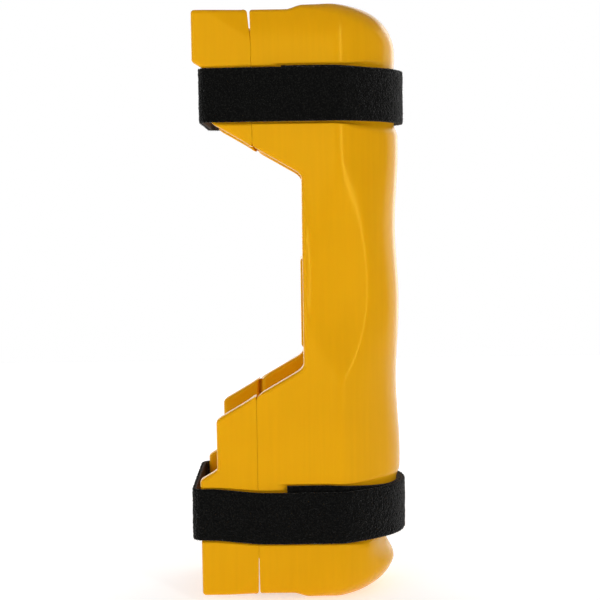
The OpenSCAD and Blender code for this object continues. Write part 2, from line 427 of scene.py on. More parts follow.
def cap_lattice(outer, inner, end_a, end_b, height):
    """Lattice between an outer and an inner curve whose ends follow two end curves.

    Straight lines join the curves; near each end they bend to meet the end curve."""
    chord = np.abs(end_a[-1] - end_a[0]).sum() + 1e-9
    t = (np.abs(end_a - end_a[0]).sum(-1) / chord)[:, None, None]
    grid = outer[None] * (1 - t) + inner[None] * t
    near_a = np.zeros(len(outer))
    near_a[:CAP_BEND] = np.linspace(1, 0, CAP_BEND)
    near_b = near_a[::-1]
    grid += (end_a[:, None] - grid[:, :1]) * near_a[None, :, None]
    grid += (end_b[:, None] - grid[:, -1:]) * near_b[None, :, None]
    z = height(grid[..., 0])[..., None]
    points = np.concatenate([grid, z], -1).reshape(-1, 3)
    return points, lattice_faces(grid.shape[0], grid.shape[1])


def loft(outer, end_b, inner, end_a):
    """Closed rows of points: outer curve, end b, inner curve back, end a back."""
    rows = np.concatenate([outer, end_b[:, 1:-1], inner[:, ::-1], end_a[:, -2:0:-1]], 1)
    return rows.reshape(-1, 3), lattice_faces(rows.shape[0], rows.shape[1], closed=True)


def closed_wall(outer, end_b, inner, end_a, caps):
    """A wall's four faces, met at their corners and closed by a cap for each (row, height)."""
    outer[:, 0], outer[:, -1] = end_a[:, 0], end_b[:, 0]
    inner[:, 0], inner[:, -1] = end_a[:, -1], end_b[:, -1]
    parts = [loft(outer, end_b, inner, end_a)]
    for row, height in caps:
        curves = (face[row, :, :2] for face in (outer, inner, end_a, end_b))
        parts.append(cap_lattice(*curves, height))
    return joined(*parts)


# -------------------- the guard body

# How the body's columns and rows are laid out, and how its ends are rounded
SIDE_START = 6.0
LEG_COLUMNS = 12
OUTLINE_COUNTS = (10, 9, 32, 12)
ROUND_ROWS = 15
HEAD_RADIUS = {1: 35.5, -1: 31.0}
REACH_ROWS = 6
ROUND_START = -13
ROUND_POWER = 1.8
LEG_ROUND = 6.8
OUTER_ROOM = 12


def body_columns():
    """Columns of the body's faces: the left leg, the left outline, then their mirror images.

    Gives whether a column is on a leg and how far along it, its place and outward normal in
    plan, the channel floor's half width there, its side of the middle and its way inwards."""
    shape, normal = outline(SIDE_START, OUTLINE_COUNTS)
    gaps = np.linalg.norm(np.diff(shape, axis=0), axis=1)
    along = np.concatenate([[0], np.cumsum(gaps)])
    half = LEG_COLUMNS + len(shape)
    mirror = np.concatenate([np.arange(half), np.arange(half - 1)[::-1]])

    def laid(on_leg, on_shape):
        """Values on the leg, then on the outline, then mirrored."""
        return np.concatenate([on_leg, on_shape])[mirror]

    is_leg = laid(np.ones(LEG_COLUMNS, bool), np.zeros(len(shape), bool))
    share = laid(np.arange(LEG_COLUMNS) / LEG_COLUMNS, np.zeros(len(shape)))
    base = laid(np.tile([SIDE_START, HALF_WIDTH], (LEG_COLUMNS, 1)), shape)
    way = laid(np.tile([0.0, 1.0], (LEG_COLUMNS, 1)), normal)
    floor = laid(np.full(LEG_COLUMNS, HALF_CHANNEL), HALF_CHANNEL * (1 - along / along[-1]))
    side = np.sign(half - 1.0 - np.arange(len(mirror)))
    inward = np.stack([FLOOR_X - base[:, 0], floor - base[:, 1]], 1)
    inward = inward / np.linalg.norm(inward, axis=1)[:, None]
    inward[is_leg] = [0.0, -1.0]
    return is_leg, share, base, way, floor, side, inward


def body_rows():
    """Rows of the body from its foot to its head.

    Common rows, closest where edges need them, keep one height.  Then come rows that reach
    each column's own rounding, and then the rounding itself, where a column of radius R
    moves in by R(1-cos f) and drops from the end surface by R(1-sin f).  Gives each row's
    end (-1 foot, 1 head), its 1-cos f, and a function for the heights of its points."""
    common = spans((-186, -177, 0.6), (-177, -143.5, 4.2), (-143.5, -134.5, 0.6),
                   (-134.5, -72, 2.4), (-72, -42, 1.0), (-42, 96, 2.5), (96, 128, 1.1),
                   (128, 137, 2), (137, 140.5, 0.5), (140.5, 178.5, 4.2), (178.5, 186, 0.6))
    zeros = [np.zeros(n) for n in (len(common), REACH_ROWS, ROUND_ROWS)]

    def laid(middle=zeros[0], reach=zeros[1], rounding=zeros[2]):
        """A column of values for one end's rounding and reach, the middle, the other end."""
        return np.concatenate([rounding[::-1], reach[::-1], middle, reach, rounding])[:, None]

    fixed = laid(middle=common)
    lift = laid(reach=np.linspace(0, 1, REACH_ROWS + 1)[1:])
    angle = laid(rounding=np.linspace(0, math.pi / 2, ROUND_ROWS + 1)[1:])
    is_common = laid(middle=zeros[0] + 1) > 0
    is_rounding = laid(rounding=zeros[2] + 1) > 0
    end = np.where(np.arange(len(fixed)) < len(fixed) // 2, -1.0, 1.0)[:, None]

    def heights(x, radius):
        """Height of each point for its place x and its rounding radius."""
        top = head_top(x)
        reaching = common[-1] + (top - radius - common[-1]) * lift
        rounding = top - radius * (1 - np.sin(angle))
        return np.where(is_common, fixed, np.where(is_rounding, rounding, reaching) * end)

    return end, 1 - np.cos(angle), heights


def body_edge(rim, z):
    """Plan of the body's rear end at each height z, rounded in by rim, as x and y.

    The outer half of the profile may run past the wall's own depth, the inner may not."""
    edge = cut_edge(z)
    room = np.maximum(FLOOR_X - edge, 0.0)
    edge = edge + rim
    lean = edge_lean(z, cut_edge)
    y_out = HALF_WIDTH - groove(z, edge) - tuck(edge, z) - rim
    y_in = HALF_CHANNEL + rim
    loose, tight = (end_profile(edge, lean, seam_share(z), y_out, y_in, rim, depth)
                    for depth in (room + OUTER_ROOM, room))
    half = RIM_TURNS + 1
    return [np.concatenate([a[:, :half], b[:, half:]], 1) for a, b in zip(loose, tight)]


def build_guard_body(material):
    """The hollow moulding's skin: U-shaped sections stacked in z, closed by domed ends."""
    is_leg, share, base, way, floor, side, inward = body_columns()
    end, inset, heights = body_rows()
    end_x, end_y = body_edge(EDGE_R * inset[:, 0], heights(np.full((1, 1), SEAM_X), EDGE_R)[:, 0])

    start_x = end_x[:, :1]
    x0 = np.where(is_leg, start_x + (SIDE_START - start_x) * share, base[:, 0])
    tip_r = np.where(end < 0, HEAD_RADIUS[-1], HEAD_RADIUS[1])
    grown = np.clip((x0 - ROUND_START) / (NOSE_TIP - ROUND_START), 0, 1) ** ROUND_POWER
    radius = EDGE_R + (tip_r - EDGE_R) * grown
    radius = np.where(is_leg, np.minimum(radius, LEG_ROUND), radius)
    z = heights(x0, radius)
    sink = groove(z, x0)
    hollow = lip(x0, z)
    waves = wave(z) * ramp(base[:, 0], WAVE_START, NOSE_TIP) * (1 - sink / GROOVE_DEPTH)
    x = x0 - way[:, 0] * sink + waves
    x = x - way[:, 0] * hollow
    y = scooped(x, base[:, 1] - way[:, 1] * (sink + tuck(x0, z) + hollow), z)
    x = x + inward[:, 0] * radius * inset
    y = y + inward[:, 1] * radius * inset
    outer = np.stack([x, y * side, heights(x, radius)], -1)

    wall_start = end_x[:, -1:]
    floor_x = FLOOR_X + EDGE_R * inset
    wall_x = np.minimum(wall_start + (FLOOR_X - wall_start) * share, floor_x)
    x = np.where(is_leg, wall_x, floor_x)
    y = np.where(is_leg, HALF_CHANNEL + EDGE_R * inset, floor + EDGE_R * inset * floor / HALF_CHANNEL)
    inner = np.stack([x, y * side, heights(x, EDGE_R)], -1)

    end_a = np.stack([end_x, end_y, heights(end_x, EDGE_R)], -1)
    points, faces = closed_wall(outer, end_a * [1, -1, 1], inner, end_a,
                                ((-1, head_top), (0, lambda x: -head_top(x))))
    return make_piece("moulded_body", points, faces, material)


# -------------------- the rear wings

WING_COLUMNS = 22
STEP_MARGIN = 12
# Extra width beside the point where a wing closes to nothing
BULGE = 1.6
# The inner face's share of the rounding, and limits that keep a narrow section closed
Y_IN_SHARE = 0.4
MOST_LEAN = 2.0
SHARE_OF_ROOM = 0.45
# Height over which the crease face opens from the wing's tip
SEAM_OPENS = 4
# Where, across the wall, an end curve starts to follow the outer face
SHIFT_START, SHIFT_RUN = 44, 6

# The bevel on a wing's outer corner: a point on its edge, its rise and run, and its depth
FACET_X = -37.5
FACET = {1: (203.0, 19.0, 30.6), -1: (206.0, 17.0, 20.5)}
FACET_SLOPE = 0.18
FACET_FADE = (190.0, 200.0)


def wing_back(z, cut, step):
    """Rear edge of a wing at height z above mid-height: slant, step, lip, rear edge."""
    slant = FLOOR_X - (z - cut) / SLOPE
    low = soft_max(slant, RECESS_X, 4.0)
    ledge = RECESS_X - (z - step) / SLOPE
    high = soft_max(soft_min(ledge, RECESS_X, 3.0), REAR_X, 2.5)
    return np.where(z < step - STEP_MARGIN, low, high)


def wing_heights(up, tip, recess_z, step):
    """Heights of a wing's rows above mid-height, closest at its corners and grooves."""
    stations = [(tip + 0.02, tip + 3, 0.35), (tip + 3, recess_z + 4, 1.0),
                (recess_z + 4, step - 5, 2.5)]
    if up > 0:
        stations += [(step - 5, step + 12, 1.0), (step + 12, LEG_Z - EDGE_R, 1.2)]
    else:
        stations += [(step - 5, step + 9.5, 1.0), (step + 9.5, 145, 0.6), (145, 176, 3),
                     (176, 185, 0.6), (185, LEG_Z - EDGE_R, 2.0)]
    return spans(*stations)


def build_wing(name, side, up, material):
    """A wing: rectangular sections stacked in z, with rounded rim, grooves and a bevel.

    The section runs from the crease face to the rear edge.  Its width closes to nothing at
    the point where the slanted edge meets the crease."""
    cut, step, gap_z = ((CUT_TOP, UPPER_STEP, UPPER_GAP_Z) if up > 0
                        else (-CUT_BOTTOM, LOWER_STEP, LOWER_GAP_Z))
    front_x = SEAM_X - CREASE_HALF
    tip = cut + SLOPE * (FLOOR_X - front_x)
    recess_z = cut + SLOPE * (FLOOR_X - RECESS_X)
    turn = np.linspace(0, math.pi / 2, ROUND_ROWS // 2 + 2)[1:]
    common = wing_heights(up, tip, recess_z, step)
    z = np.concatenate([common, LEG_Z - EDGE_R * (1 - np.sin(turn))])
    inset = EDGE_R * np.concatenate([np.zeros(len(common)), 1 - np.cos(turn)])
    width = np.maximum(front_x - wing_back(z, cut, step), 0.0)
    width = width + BULGE * np.exp(-width / 4) * (1 - np.exp(-width / 0.6))
    gap = WING_LEAN[up] * np.clip((z - gap_z) / (LEG_Z - gap_z), 0, 1)
    front = front_x - gap - inset
    rear = front_x - width + inset
    room = np.maximum(front - rear, 0.02)
    y_out = HALF_WIDTH - inset
    y_in = HALF_CHANNEL + Y_IN_SHARE * inset
    lean = np.minimum(edge_lean(z, lambda v: wing_back(v, cut, step)), MOST_LEAN)
    none = np.zeros_like(z)
    rear_x, rear_y = end_profile(none, lean, none, y_out, y_in, inset, room)
    rear_x = rear[:, None] + np.minimum(rear_x, SHARE_OF_ROOM * room[:, None])
    near = smooth_step((z - tip) / SEAM_OPENS)
    seam_x, seam_y = end_profile(none, none + 1, near, y_out, y_in, inset, room)
    seam_x = front[:, None] - np.minimum(seam_x, SHARE_OF_ROOM * room[:, None])

    def rows_of(values, count):
        """Each row's one value, repeated across its columns."""
        return np.repeat(values[:, None], count, 1)

    t = np.linspace(0, 1, WING_COLUMNS + 1)
    x = seam_x[:, :1] * (1 - t) + rear_x[:, :1] * t
    facet_z, rise, run = FACET[up]
    past = ((z[:, None] - facet_z) * run + (x - FACET_X) * rise) / math.hypot(rise, run)
    bevel = FACET_SLOPE * soft_max(past, 0.0, 1.0) * ramp(z[:, None], *FACET_FADE)
    y = rows_of(y_out, len(t)) - bevel - groove(z[:, None] * up, x)
    outer = np.stack([x, y, rows_of(z, len(t))], -1)
    x = seam_x[:, -1:] * (1 - t) + rear_x[:, -1:] * t
    inner = np.stack([x, rows_of(y_in, len(t)), outer[..., 2]], -1)
    z_end = rows_of(z, seam_x.shape[1])
    end_a = np.stack([seam_x, seam_y, z_end], -1)
    end_b = np.stack([rear_x, rear_y, z_end], -1)
    for curve, column in ((end_a, 0), (end_b, -1)):
        outer_share = np.clip((curve[..., 1] - SHIFT_START) / SHIFT_RUN, 0, 1)
        curve[..., 1] += (outer[:, column, 1] - y_out)[:, None] * outer_share
    caps = [(row, lambda x, height=z[row]: np.full_like(x, height)) for row in (-1, 0)]
    points, faces = closed_wall(outer, end_b, inner, end_a, caps)
    return make_piece(name, points * [1, side, up], faces, material)


# -------------------- hinges and seat pad

def rounded_slab(low, high, radius, steps):
    """A box with all its edges rounded: each face is a lattice of the sharp box, and every
    point moves to the box shrunk by radius, plus radius along the way out from it."""
    low, high = np.asarray(low, float), np.asarray(high, float)
    lattices = []
    for axis in range(3):
        for at in (low, high):
            a, b = [k for k in range(3) if k != axis]
            lines = []
            for k in (a, b):
                rim = radius * (1 - np.cos(np.linspace(0, math.pi / 2, 5)))
                middle = np.linspace(low[k] + radius, high[k] - radius, steps[k] + 1)[1:-1]
                lines.append(np.concatenate([low[k] + rim, middle, (high[k] - rim)[::-1]]))
            u, v = np.meshgrid(*lines, indexing="ij")
            points = np.empty(u.shape + (3,))
            points[..., a], points[..., b], points[..., axis] = u, v, at[axis]
            lattices.append((points.reshape(-1, 3), lattice_faces(*u.shape)))
    points, faces = joined(*lattices)
    core = np.clip(points, low + radius, high - radius)
    out = points - core
    out = out / np.maximum(np.linalg.norm(out, axis=1), 1e-9)[:, None]
    return core + radius * out, faces


WEB_SINK = 0.8
PAD_SINK = 1.0
PAD_SLOPE = 3.0


def build_web(name, node, material):
    """A living hinge: a thin strip, its ends sunk into the crease's two faces."""
    low, high = box_mm(node)
    low[0] -= WEB_SINK
    high[0] += WEB_SINK
    points, faces = rounded_slab(low, high, 0.3, (8, 2, 30))
    return make_piece(name, points, faces, material)


def build_seat_pad(material):
    """A low pad on the channel floor with sloping ends and rounded edges."""
    low, high = PAD_LOW.copy(), PAD_HIGH.copy()
    high[0] += PAD_SINK
    points, faces = rounded_slab(low, high, 0.9, (3, 20, 24))
    slope = PAD_SLOPE * (high[0] - points[:, 0]) / (high[0] - low[0])
    middle = (low[2] + high[2]) / 2
    points[:, 2] -= np.sign(points[:, 2] - middle) * slope * smooth_step(
        np.abs(points[:, 2] - middle) / (high[2] - middle))
    return make_piece("seat_pad_face", points, faces, material)


# -------------------- straps

FINE_STEP = 0.8
INNER_STEP = 1.5
COARSE_STEP = 4.0
LOOP_EDGE_R = 1.1
LOOP_COLUMNS = 44
HOOK_INSET = 0.35
PUFF_FINE = 0.8
PUFF_BROAD = 0.3
BROAD_ROWS = 6
BROAD_COLUMNS = 9

# Fibres: how many for each row, the rows that lie hidden, their share on the edges
FIBRES_PER_ROW = 8
HIDDEN_ROWS = 120
FIBRES_ON_EDGES = 0.72
FIBRE_LENGTH = (0.4, 1.2)
FIBRE_R = 0.075
FIBRE_LEAN = 0.5


def strap_route(up):
    """Plan of a strap's inner face from its inner end to its loose end.

    One turn and a half: right side, nose, left side, back, a ramp up on to the inner end,
    then right side, nose and left side again, one layer further out.  Gives the points,
    the outward normals, the layer offset and the height of the middle line."""
    back = STRAP_BACK[up]
    fine, coarse = FINE_STEP, COARSE_STEP

    def straight(a, b, normal, lay, step):
        """Evenly spaced points from a to b."""
        n = max(1, round(math.dist(a, b) / step))
        t = np.arange(n)[:, None] / n
        return (np.array(a) + (np.array(b) - a) * t, np.tile(normal, (n, 1)),
                np.linspace(lay[0], lay[1], n + 1)[:-1])

    def arc(centre, radius, a, b, lay, step, mirror=1):
        """Points on an arc, from angle a to b measured from +Y towards +X."""
        n = max(2, round(abs(b - a) * (radius + lay + STRAP_THICK) / step))
        angle = a + (b - a) * np.arange(n) / n
        way = np.stack([np.sin(angle), mirror * np.cos(angle)], 1)
        return np.array(centre) * [1, mirror] + radius * way, way, np.full(n, lay)

    sink = LOOP_Y - HALF_WIDTH
    arcs = [(c, r + sink) for c, r in outline_arcs(STRAP_TIP)]
    turns = [0.0, CORNER_TURN, FLANK_TURN, math.pi / 2]

    def round_nose(lay, step_right, step_left):
        """Right corner, flank and nose, then the left ones back."""
        right = [arc(c, r, a, b, lay, step_right, -1) for (c, r), a, b in zip(arcs, turns, turns[1:])]
        left = [arc(c, r, b, a, lay, step_left) for (c, r), a, b in zip(arcs, turns, turns[1:])]
        return right + left[::-1]

    quarter = math.pi / 2
    rear = BACK_R - back
    y = LOOP_Y
    parts = [straight((INNER_END, -y), (CORNER_X, -y), (0, -1), (0, 0), INNER_STEP)]
    parts += round_nose(0.0, INNER_STEP, coarse)
    first = sum(len(p[0]) for p in parts)
    parts += [straight((CORNER_X, y), (TAIL_X, y), (0, 1), (0, 0), coarse),
              straight((TAIL_X, y), (rear, y), (0, 1), (0, 0), fine),
              arc((rear, y - BACK_R), BACK_R, 0, -quarter, 0, fine / 2),
              straight((-back, y - BACK_R), (-back, BACK_R - y), (-1, 0), (0, 0), fine),
              arc((rear, BACK_R - y), BACK_R, -quarter, -2 * quarter, 0, fine / 2),
              straight((rear, -y), (INNER_END, -y), (0, -1), (0, TURN_PITCH), fine),
              straight((INNER_END, -y), (CORNER_X, -y), (0, -1), (TURN_PITCH, TURN_PITCH), fine)]
    parts += round_nose(TURN_PITCH, fine, fine)
    parts += [straight((CORNER_X, y), (TAIL_X, y), (0, 1), (TURN_PITCH, TURN_PITCH), fine),
              straight((TAIL_X, y), (TAIL_END, y), (0, 1), (TURN_PITCH, TURN_PITCH), fine),
              (np.array([[TAIL_END, y]]), np.array([[0.0, 1.0]]), np.array([TURN_PITCH]))]
    points, normals, lay = (np.concatenate([p[k] for p in parts]) for k in range(3))
    split = len(points) - len(parts[-2][0]) - 1
    inner = np.arange(len(points)) < first
    lift = np.where(inner, inner_lift(points[:, 0], up), 0.0)
    middle = STRAP_Z[up] + rear_lift(points[:, 0], up) + lift
    return points, normals, lay, middle, split


def tape(route, rows, ring_z, ring_h, puff):
    """A ring of (height, thickness) points carried along a route, both ends closed.

    A ring point at (v, h) goes to middle + v in z and to h + offset + puff along the
    outward normal."""
    points, normals, lay, middle, _ = route
    h = lay[rows, None] + ring_h + puff[rows]
    xy = points[rows, None] + normals[rows, None] * h[..., None]
    z = middle[rows, None] + np.broadcast_to(ring_z, h.shape)
    grid = np.concatenate([xy, z[..., None]], -1)
    n, m = h.shape
    faces = lattice_faces(n, m, closed=True).tolist()
    faces += [list(range(m)), list(range((n - 1) * m, n * m))]
    return grid.reshape(-1, 3), faces


def loop_ring():
    """Section of the loop tape: a flat outer face, soft rounded edges, a flat inner face."""
    soft = LOOP_EDGE_R
    flat = np.linspace(soft - STRAP_HALF, STRAP_HALF - soft, LOOP_COLUMNS)
    a = np.linspace(0, math.pi / 2, 5)[1:]
    edge_z, edge_h = STRAP_HALF - soft + soft * np.sin(a), STRAP_THICK - soft * (1 - np.cos(a))
    inner = np.linspace(STRAP_HALF, -STRAP_HALF, 7)
    z = np.concatenate([flat, edge_z, inner, -edge_z[::-1]])
    h = np.concatenate([np.full(LOOP_COLUMNS, STRAP_THICK), edge_h,
                        np.full(len(inner), HOOK_THICK), edge_h[::-1]])
    return z, h


def hook_ring():
    """Section of the hook tape: a thin flat bar."""
    half = STRAP_HALF - HOOK_INSET
    line = np.linspace(-half, half, 9)
    z = np.concatenate([line, line[::-1]])
    h = np.concatenate([np.full(len(line), HOOK_THICK - 0.04), np.zeros(len(line))])
    return z, h


def fuzz(route, rows, count, seed):
    """Short fibres along both edges and over the face, each a thin pointed sliver.

    A fibre has a three-cornered foot on the tape and a tip along a way drawn at random."""
    draw = np.random.default_rng(seed)
    points, normals, lay, middle, _ = route
    row = draw.integers(rows[0], rows[-1], count)
    edge = draw.random(count) < FIBRES_ON_EDGES
    side = np.where(draw.random(count) < 0.5, -1.0, 1.0)
    v = np.where(edge, side * (STRAP_HALF - 0.25), draw.uniform(1 - STRAP_HALF, STRAP_HALF - 1, count))
    h = np.where(edge, draw.uniform(1.5, STRAP_THICK - 0.2, count), STRAP_THICK)
    out = np.concatenate([normals[row], np.zeros((count, 1))], 1)
    up = np.tile([0.0, 0.0, 1.0], (count, 1))
    along = np.cross(up, out)
    foot = np.concatenate([points[row], middle[row, None]], 1) + up * v[:, None]
    foot = foot + out * (lay[row] + h)[:, None]
    lean = draw.normal(0, FIBRE_LEAN, (count, 3))
    way = np.where(edge[:, None], up * side[:, None] + out * 0.35, out) + lean
    way = way / np.linalg.norm(way, axis=1)[:, None]
    length = draw.uniform(*FIBRE_LENGTH, count)[:, None]
    across = np.cross(way, along + 0.3 * up)
    across = across / np.linalg.norm(across, axis=1)[:, None]
    third = np.cross(way, across)
    feet = [foot + FIBRE_R * (math.cos(a) * across + math.sin(a) * third) for a in (0, 2.1, 4.2)]
    tips = foot + way * length
    verts = np.stack(feet + [tips], 1).reshape(-1, 3)
    base = np.arange(count)[:, None, None] * 4
    faces = base + np.array([[0, 1, 3], [1, 2, 3], [2, 0, 3], [0, 2, 1]])
    return verts, faces.reshape(-1, 3)


def strap_puff(total, ring_h, seed):
    """How far each point of the loop tape's face stands out: fine noise over broad noise."""
    draw = np.random.default_rng(seed)
    rough = draw.random((total, len(ring_h)))
    rough = (rough + np.roll(rough, 1, 0) + np.roll(rough, 1, 1)) / 3
    broad = draw.random((total // BROAD_ROWS + 2, BROAD_COLUMNS))
    steps = np.arange(total) / BROAD_ROWS
    low = steps.astype(int)
    broad = broad[low] + (broad[low + 1] - broad[low]) * (steps - low)[:, None]
    place = np.linspace(0, BROAD_COLUMNS - 1.01, len(ring_h))
    column = place.astype(int)
    broad = broad[:, column] + (broad[:, column + 1] - broad[:, column]) * (place - column)
    face = np.clip((ring_h - HOOK_THICK - 0.2) / 1.2, 0, 1)
    puff = (PUFF_FINE * (rough - 0.5) + PUFF_BROAD * (broad - 0.5)) * face
    puff[:, 0] *= 0.5
    return puff


def build_strap(level, up):
    """One strap: loop tape outside, hook tape inside, and the loose end of each."""
    loop = material_of("loop_fabric", loop_fabric)
    hook = material_of("hook_fabric", hook_fabric)
    route = strap_route(up)
    points, normals, lay, _, split = route
    total = len(points)
    ring_z, ring_h = loop_ring()
    puff = strap_puff(total, ring_h, 20 + up)
    hook_z, hook_h = hook_ring()
    plates = [f"wing_{level}_{hand}_plate" for hand in ("left", "right")]
    for part, rows, rests_on in (("", np.arange(0, split + 1), ["moulded_body"] + plates),
                                 ("_tail", np.arange(split, total), [f"strap_{level}_loop_tape"])):
        shell = tape(route, rows, ring_z, ring_h, puff)
        visible = rows if part else rows[rows > HIDDEN_ROWS]
        hairs = fuzz(route, visible, len(visible) * FIBRES_PER_ROW, 40 + up)
        points = np.concatenate([shell[0], hairs[0]])
        faces = shell[1] + (hairs[1] + len(shell[0])).tolist()
        pieces = [make_piece(f"strap_{level}{part}_loop_tape", points, faces, loop)]
        points, faces = tape(route, rows, hook_z, hook_h, np.zeros((total, len(hook_z))))
        pieces.append(make_piece(f"strap_{level}{part}_hook_tape", points, faces, hook))
        widths = (2 * STRAP_HALF, 2 * (STRAP_HALF - HOOK_INSET))
        for piece, kind, width in zip(pieces, ("loop", "hook"), widths):
            if part:
                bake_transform(piece)
            else:
                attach(piece, "root")
            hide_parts(f"strap_{level}{part}_{kind}")


# -------------------- finishes

class Finish:
    """A named node material with helpers that add its nodes and link them to its shader."""

    def __init__(self, name):
        self.material = bpy.data.materials.new(name)
        self.material.use_nodes = True
        self.tree = self.material.node_tree
        self.shader = self.tree.nodes["Principled BSDF"]
        self.link = self.tree.links.new

    def add(self, kind, **values):
        """A new node, with inputs and settings by name."""
        node = self.tree.nodes.new(kind)
        for key, value in values.items():
            if key in node.inputs:
                node.inputs[key].default_value = value
            else:
                setattr(node, key, value)
        return node

    def set(self, **values):
        """Sets the shader's inputs, named with underscores for spaces."""
        for key, value in values.items():
            self.shader.inputs[key.replace("_", " ")].default_value = value

    def pattern(self, kind, place, **values):
        """A texture node that reads its place from another node's output."""
        texture = self.add(kind, **values)
        self.link(place, texture.inputs["Vector"])
        return texture

    def two_tones(self, source, first, second):
        """The base colour, from one (position, colour) to the other as source rises."""
        tint = self.add("ShaderNodeValToRGB")
        for element, (position, colour) in zip(tint.color_ramp.elements, (first, second)):
            element.position, element.color = position, (*colour, 1)
        self.link(source, tint.inputs["Fac"])
        self.link(tint.outputs["Color"], self.shader.inputs["Base Color"])

    def bump(self, source, **values):
        """Bumps the surface by a source of height."""
        bump = self.add("ShaderNodeBump", **values)
        self.link(source, bump.inputs["Height"])
        self.link(bump.outputs["Normal"], self.shader.inputs["Normal"])


def times(colour, factor):
    """A colour made darker or lighter."""
    return [channel * factor for channel in colour[:3]]


def moulded_plastic(sizes):
    """Glossy moulded polyethylene: fine vertical flow lines, faint clouding, soft gloss."""
    finish = Finish("moulded_plastic")
    place = finish.add("ShaderNodeTexCoord").outputs["Object"]
    stretch = finish.pattern("ShaderNodeMapping", place, Scale=(1.0, 1.0, 0.035))
    lines = finish.pattern("ShaderNodeTexNoise", stretch.outputs["Vector"],
                           Scale=260.0, Detail=3.0, Roughness=0.6)
    cloud = finish.pattern("ShaderNodeTexNoise", place, Scale=14.0, Detail=2.0)
    share = finish.add("ShaderNodeMath", operation="MULTIPLY")
    share.inputs[1].default_value = 0.55
    finish.link(cloud.outputs["Fac"], share.inputs[0])
    mixed = finish.add("ShaderNodeMath", operation="MULTIPLY_ADD")
    mixed.inputs[1].default_value = 0.45
    finish.link(lines.outputs["Fac"], mixed.inputs[0])
    finish.link(share.outputs[0], mixed.inputs[2])
    colour = sizes.plastic_colour
    finish.two_tones(mixed.outputs[0], (0.3, times(colour, 0.93)), (0.6, times(colour, 1)))
    gloss = finish.add("ShaderNodeMapRange")
    gloss.inputs["To Min"].default_value = sizes.plastic_roughness - 0.05
    gloss.inputs["To Max"].default_value = sizes.plastic_roughness + 0.07
    finish.link(cloud.outputs["Fac"], gloss.inputs["Value"])
    finish.link(gloss.outputs["Result"], finish.shader.inputs["Roughness"])
    finish.bump(lines.outputs["Fac"], Strength=0.12, Distance=0.0002)
    finish.set(IOR=1.5, Specular_IOR_Level=0.35, Specular_Tint=(1.0, 0.72, 0.08, 1.0),
               Subsurface_Weight=0.18, Subsurface_Radius=(1.0, 0.35, 0.05), Subsurface_Scale=0.005)
    return finish.material


def loop_fabric(sizes):
    """Black brushed loop tape with a soft sheen, its colour partly the pile's own speckled tone and
    partly painted light: lighter on the raised tips as a painted glint, darker in the hollows as
    painted shade.
    """
    finish = Finish("loop_fabric")
    place = finish.add("ShaderNodeTexCoord").outputs["Object"]
    pile = finish.pattern("ShaderNodeTexNoise", place, Scale=620.0, Detail=3.0, Roughness=0.75)
    curls = finish.pattern("ShaderNodeTexVoronoi", place, Scale=760.0)
    both = finish.add("ShaderNodeMath", operation="SUBTRACT")
    finish.link(pile.outputs["Fac"], both.inputs[0])
    finish.link(curls.outputs["Distance"], both.inputs[1])
    colour = sizes.strap_colour
    # Colour follows the pile's height: lighter tips are a painted glint, darker hollows are painted
    # shade.
    finish.two_tones(both.outputs[0], (0.0, times(colour, 0.45)), (0.5, times(colour, 3.2)))
    finish.bump(both.outputs[0], Strength=1.0, Distance=0.0009)
    finish.set(Roughness=0.95, Specular_IOR_Level=0.1, Sheen_Weight=0.15, Sheen_Roughness=0.35)
    return finish.material


def hook_fabric(sizes):
    """Brown-black hook tape: a close pattern of tiny bumps, coloured darker in the hollows between
    them as painted shade.
    """
    finish = Finish("hook_fabric")
    place = finish.add("ShaderNodeTexCoord").outputs["Object"]
    hooks = finish.pattern("ShaderNodeTexVoronoi", place, Scale=720.0).outputs["Distance"]
    colour = sizes.hook_colour
    # Darker where the bumps sink: painted shade between the hooks.
    finish.two_tones(hooks, (0.15, times(colour, 1)), (0.6, times(colour, 0.2)))
    finish.bump(hooks, Strength=0.8, Distance=0.0006, invert=True)
    finish.set(Roughness=0.75, Specular_IOR_Level=0.3)
    return finish.material


def floor_white():
    """Plain white that glows a little."""
    finish = Finish("floor_white")
    finish.set(Base_Color=(0.9, 0.9, 0.9, 1), Roughness=0.9, Emission_Color=(1, 1, 1, 1),
               Emission_Strength=FLOOR_GLOW)
    return finish.material


# -------------------- properties

class GuardSizes(bpy.types.PropertyGroup):
    """Sizes and colours that change the guard's looks."""

    plastic_colour: bpy.props.FloatVectorProperty(
        name="Plastic", description="Base colour of the moulded plastic", subtype="COLOR",
        size=4, min=0, max=1, default=(0.78, 0.37, 0.004, 1.0))
    plastic_roughness: bpy.props.FloatProperty(
        name="Plastic roughness", description="Roughness of the moulded plastic",
        subtype="FACTOR", min=0.05, max=1, default=0.2)
    strap_colour: bpy.props.FloatVectorProperty(
        name="Loop tape", description="Base colour of the loop tape", subtype="COLOR",
        size=4, min=0, max=1, default=(0.0035, 0.0035, 0.003, 1.0))
    hook_colour: bpy.props.FloatVectorProperty(
        name="Hook tape", description="Base colour of the hook tape", subtype="COLOR",
        size=4, min=0, max=1, default=(0.10, 0.062, 0.045, 1.0))
    floor_drop: bpy.props.FloatProperty(
        name="Floor drop", description="Gap between the guard's foot and the floor",
        unit="LENGTH", subtype="DISTANCE", default=0.0)


def sizes():
    """The scene's guard settings."""
    return bpy.context.scene.guard_sizes


def material_of(name, maker):
    """The named material, made on first use."""
    return bpy.data.materials.get(name) or maker(sizes())


# -------------------- operators

class GUARD_OT_stage(bpy.types.Operator):
    """Set up the floor, the surrounding light and the camera"""

    bl_idname = "guard.stage"
    bl_label = "Stage"

    def execute(self, context):
        build_camera()
        build_floor()
        build_lights()
        return {"FINISHED"}


class GUARD_OT_body(bpy.types.Operator):
    """Build the moulded body and its seat pad"""

    bl_idname = "guard.body"
    bl_label = "Body"

    def execute(self, context):
        plastic = material_of("moulded_plastic", moulded_plastic)
        for build, node in ((build_guard_body, "guard_body"), (build_seat_pad, "seat_pad")):
            piece = build(plastic)
            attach(piece, "root")
            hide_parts(node)
        return {"FINISHED"}


